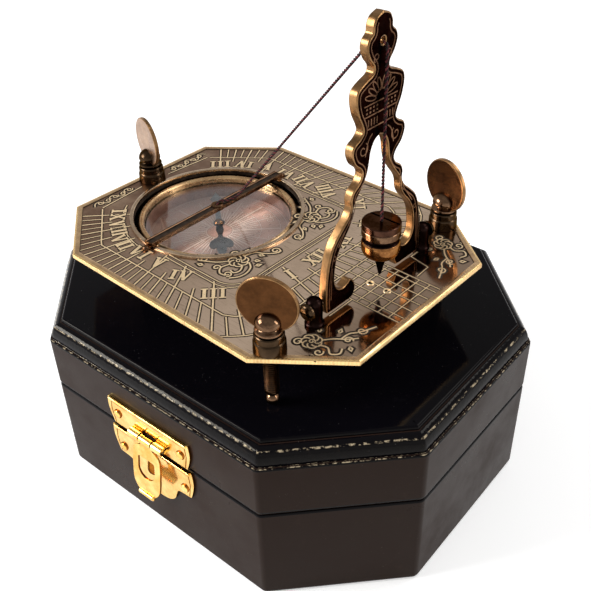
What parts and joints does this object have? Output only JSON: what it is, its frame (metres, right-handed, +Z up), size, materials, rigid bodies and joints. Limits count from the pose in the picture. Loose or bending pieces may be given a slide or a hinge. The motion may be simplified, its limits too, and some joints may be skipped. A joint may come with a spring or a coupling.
{
  "type": "pendulum sundial compass",
  "caption": "Folding pendulum sundial with an inset magnetic compass, string gnomon and levelling screws, standing on its hinged octagonal lacquered wooden case.",
  "frame": {"origin": "centre of the box's underside", "axes": "+Z up, -Y towards the latch, +Y towards the hinges, +X towards the folding bracket, -X towards the compass"},
  "size_m": [0.1436, 0.1258, 0.1499],
  "materials": {
    "lacquered_wood": "gloss black lacquer",
    "velvet": "dark red velvet",
    "stamped_brass": "bright stamped brass",
    "dial_bronze": "cast and antiqued, raised lines polished",
    "dark_bronze": "browned bronze with worn edges",
    "polished_bronze": "polished discs",
    "copper_card": "embossed copper card",
    "compass_glass": "clear",
    "needle_steel": "grey steel",
    "cord": "two-ply twisted cord"
  },
  "bodies": {
    "base": {"box_base": "lacquered_wood", "base_lining": "velvet", "catch_plate": "stamped_brass", "catch_nails": "stamped_brass", "base_hinge_leaves": "stamped_brass", "base_hinge_screws": "stamped_brass"},
    "lid": {"box_lid": "lacquered_wood", "lid_lining": "velvet", "latch_plate": "stamped_brass", "latch_nails": "stamped_brass", "hasp_pin": "stamped_brass", "lid_hinge_leaves": "stamped_brass", "lid_hinge_screws": "stamped_brass", "hinge_pins": "stamped_brass"},
    "hasp": {"hasp": "stamped_brass"},
    "dial": {"dial_plate": "dial_bronze", "screw_bushes": "dark_bronze", "compass_bowl": "dark_bronze", "compass_bezel": "dial_bronze", "compass_glass": "compass_glass", "compass_card": "copper_card", "needle_pivot": "stamped_brass", "gnomon_bar": "dial_bronze", "bar_rivets": "dark_bronze", "bracket_posts": "dark_bronze", "pivot_screws": "dark_bronze", "gnomon_string": "cord"},
    "needle": {"compass_needle": "needle_steel", "needle_cap": "stamped_brass"},
    "bracket": {"bracket": "dark_bronze"},
    "knot": {"string_bend": "cord"},
    "pendulum": {"pendulum_string": "cord", "bob_cap": "dark_bronze", "bob_body": "dark_bronze"},
    "front_foot": {"front_foot": "dark_bronze"},
    "front_thumbscrew": {"front_screw": "dark_bronze", "front_disc": "polished_bronze"},
    "back_foot": {"back_foot": "dark_bronze"},
    "back_thumbscrew": {"back_screw": "dark_bronze", "back_disc": "polished_bronze"},
    "tail_foot": {"tail_foot": "dark_bronze"},
    "tail_thumbscrew": {"tail_screw": "dark_bronze", "tail_disc": "polished_bronze"}
  },
  "joints": [
    {"name": "lid_hinge", "type": "hinge", "parent": "base", "child": "lid", "pos_m": [0, 0.06025, 0.03384], "axis": [-1, 0, 0], "range_deg": [0, 100]},
    {"name": "hasp_hinge", "type": "hinge", "parent": "lid", "child": "hasp", "pos_m": [0.0008, -0.06045, 0.0365], "axis": [-1, 0, 0], "range_deg": [-8, 120]},
    {"name": "dial_lift", "type": "slide", "parent": "lid", "child": "dial", "axis": [0, 0, 1], "range_m": [0, 0.05]},
    {"name": "needle_spin", "type": "hinge", "parent": "dial", "child": "needle", "pos_m": [-0.02344, -0.00232, 0.07005], "axis": [0, 0, 1], "continuous": true},
    {"name": "bracket_fold", "type": "hinge", "parent": "dial", "child": "bracket", "pos_m": [0.0369, -0.00495, 0.08065], "axis": [0.0436, 0.999, 0], "range_deg": [-90, 0], "deforming": ["gnomon_string"]},
    {"name": "bob_sway", "type": "hinge", "parent": "bracket", "child": "knot", "pos_m": [0.0397, -0.00507, 0.1417], "axis": [0.999, -0.0436, 0], "range_deg": [-6, 6]},
    {"name": "bob_swing", "type": "hinge", "parent": "knot", "child": "pendulum", "pos_m": [0.0397, -0.00507, 0.1417], "axis": [0.0436, 0.999, 0], "range_deg": [-25, 2]},
    {"name": "front_travel", "type": "slide", "parent": "dial", "child": "front_foot", "axis": [0, 0, 1], "range_m": [0, 0.0028]},
    {"name": "front_turn", "type": "hinge", "parent": "front_foot", "child": "front_thumbscrew", "pos_m": [0.03317, -0.04242, 0.07565], "axis": [0, 0, 1], "range_deg": [0, 1440]},
    {"name": "back_travel", "type": "slide", "parent": "dial", "child": "back_foot", "axis": [0, 0, 1], "range_m": [0, 0.0028]},
    {"name": "back_turn", "type": "hinge", "parent": "back_foot", "child": "back_thumbscrew", "pos_m": [0.03644, 0.0327, 0.07565], "axis": [0, 0, 1], "range_deg": [0, 1440]},
    {"name": "tail_travel", "type": "slide", "parent": "dial", "child": "tail_foot", "axis": [0, 0, 1], "range_m": [0, 0.0028]},
    {"name": "tail_turn", "type": "hinge", "parent": "tail_foot", "child": "tail_thumbscrew", "pos_m": [-0.05481, -0.00095, 0.07565], "axis": [0, 0, 1], "range_deg": [0, 1440]}
  ],
  "couplings": [
    {"joint": "front_turn", "follows": "front_travel", "rad_per_m": 8976},
    {"joint": "back_turn", "follows": "back_travel", "rad_per_m": 8976},
    {"joint": "tail_turn", "follows": "tail_travel", "rad_per_m": 8976}
  ]
}
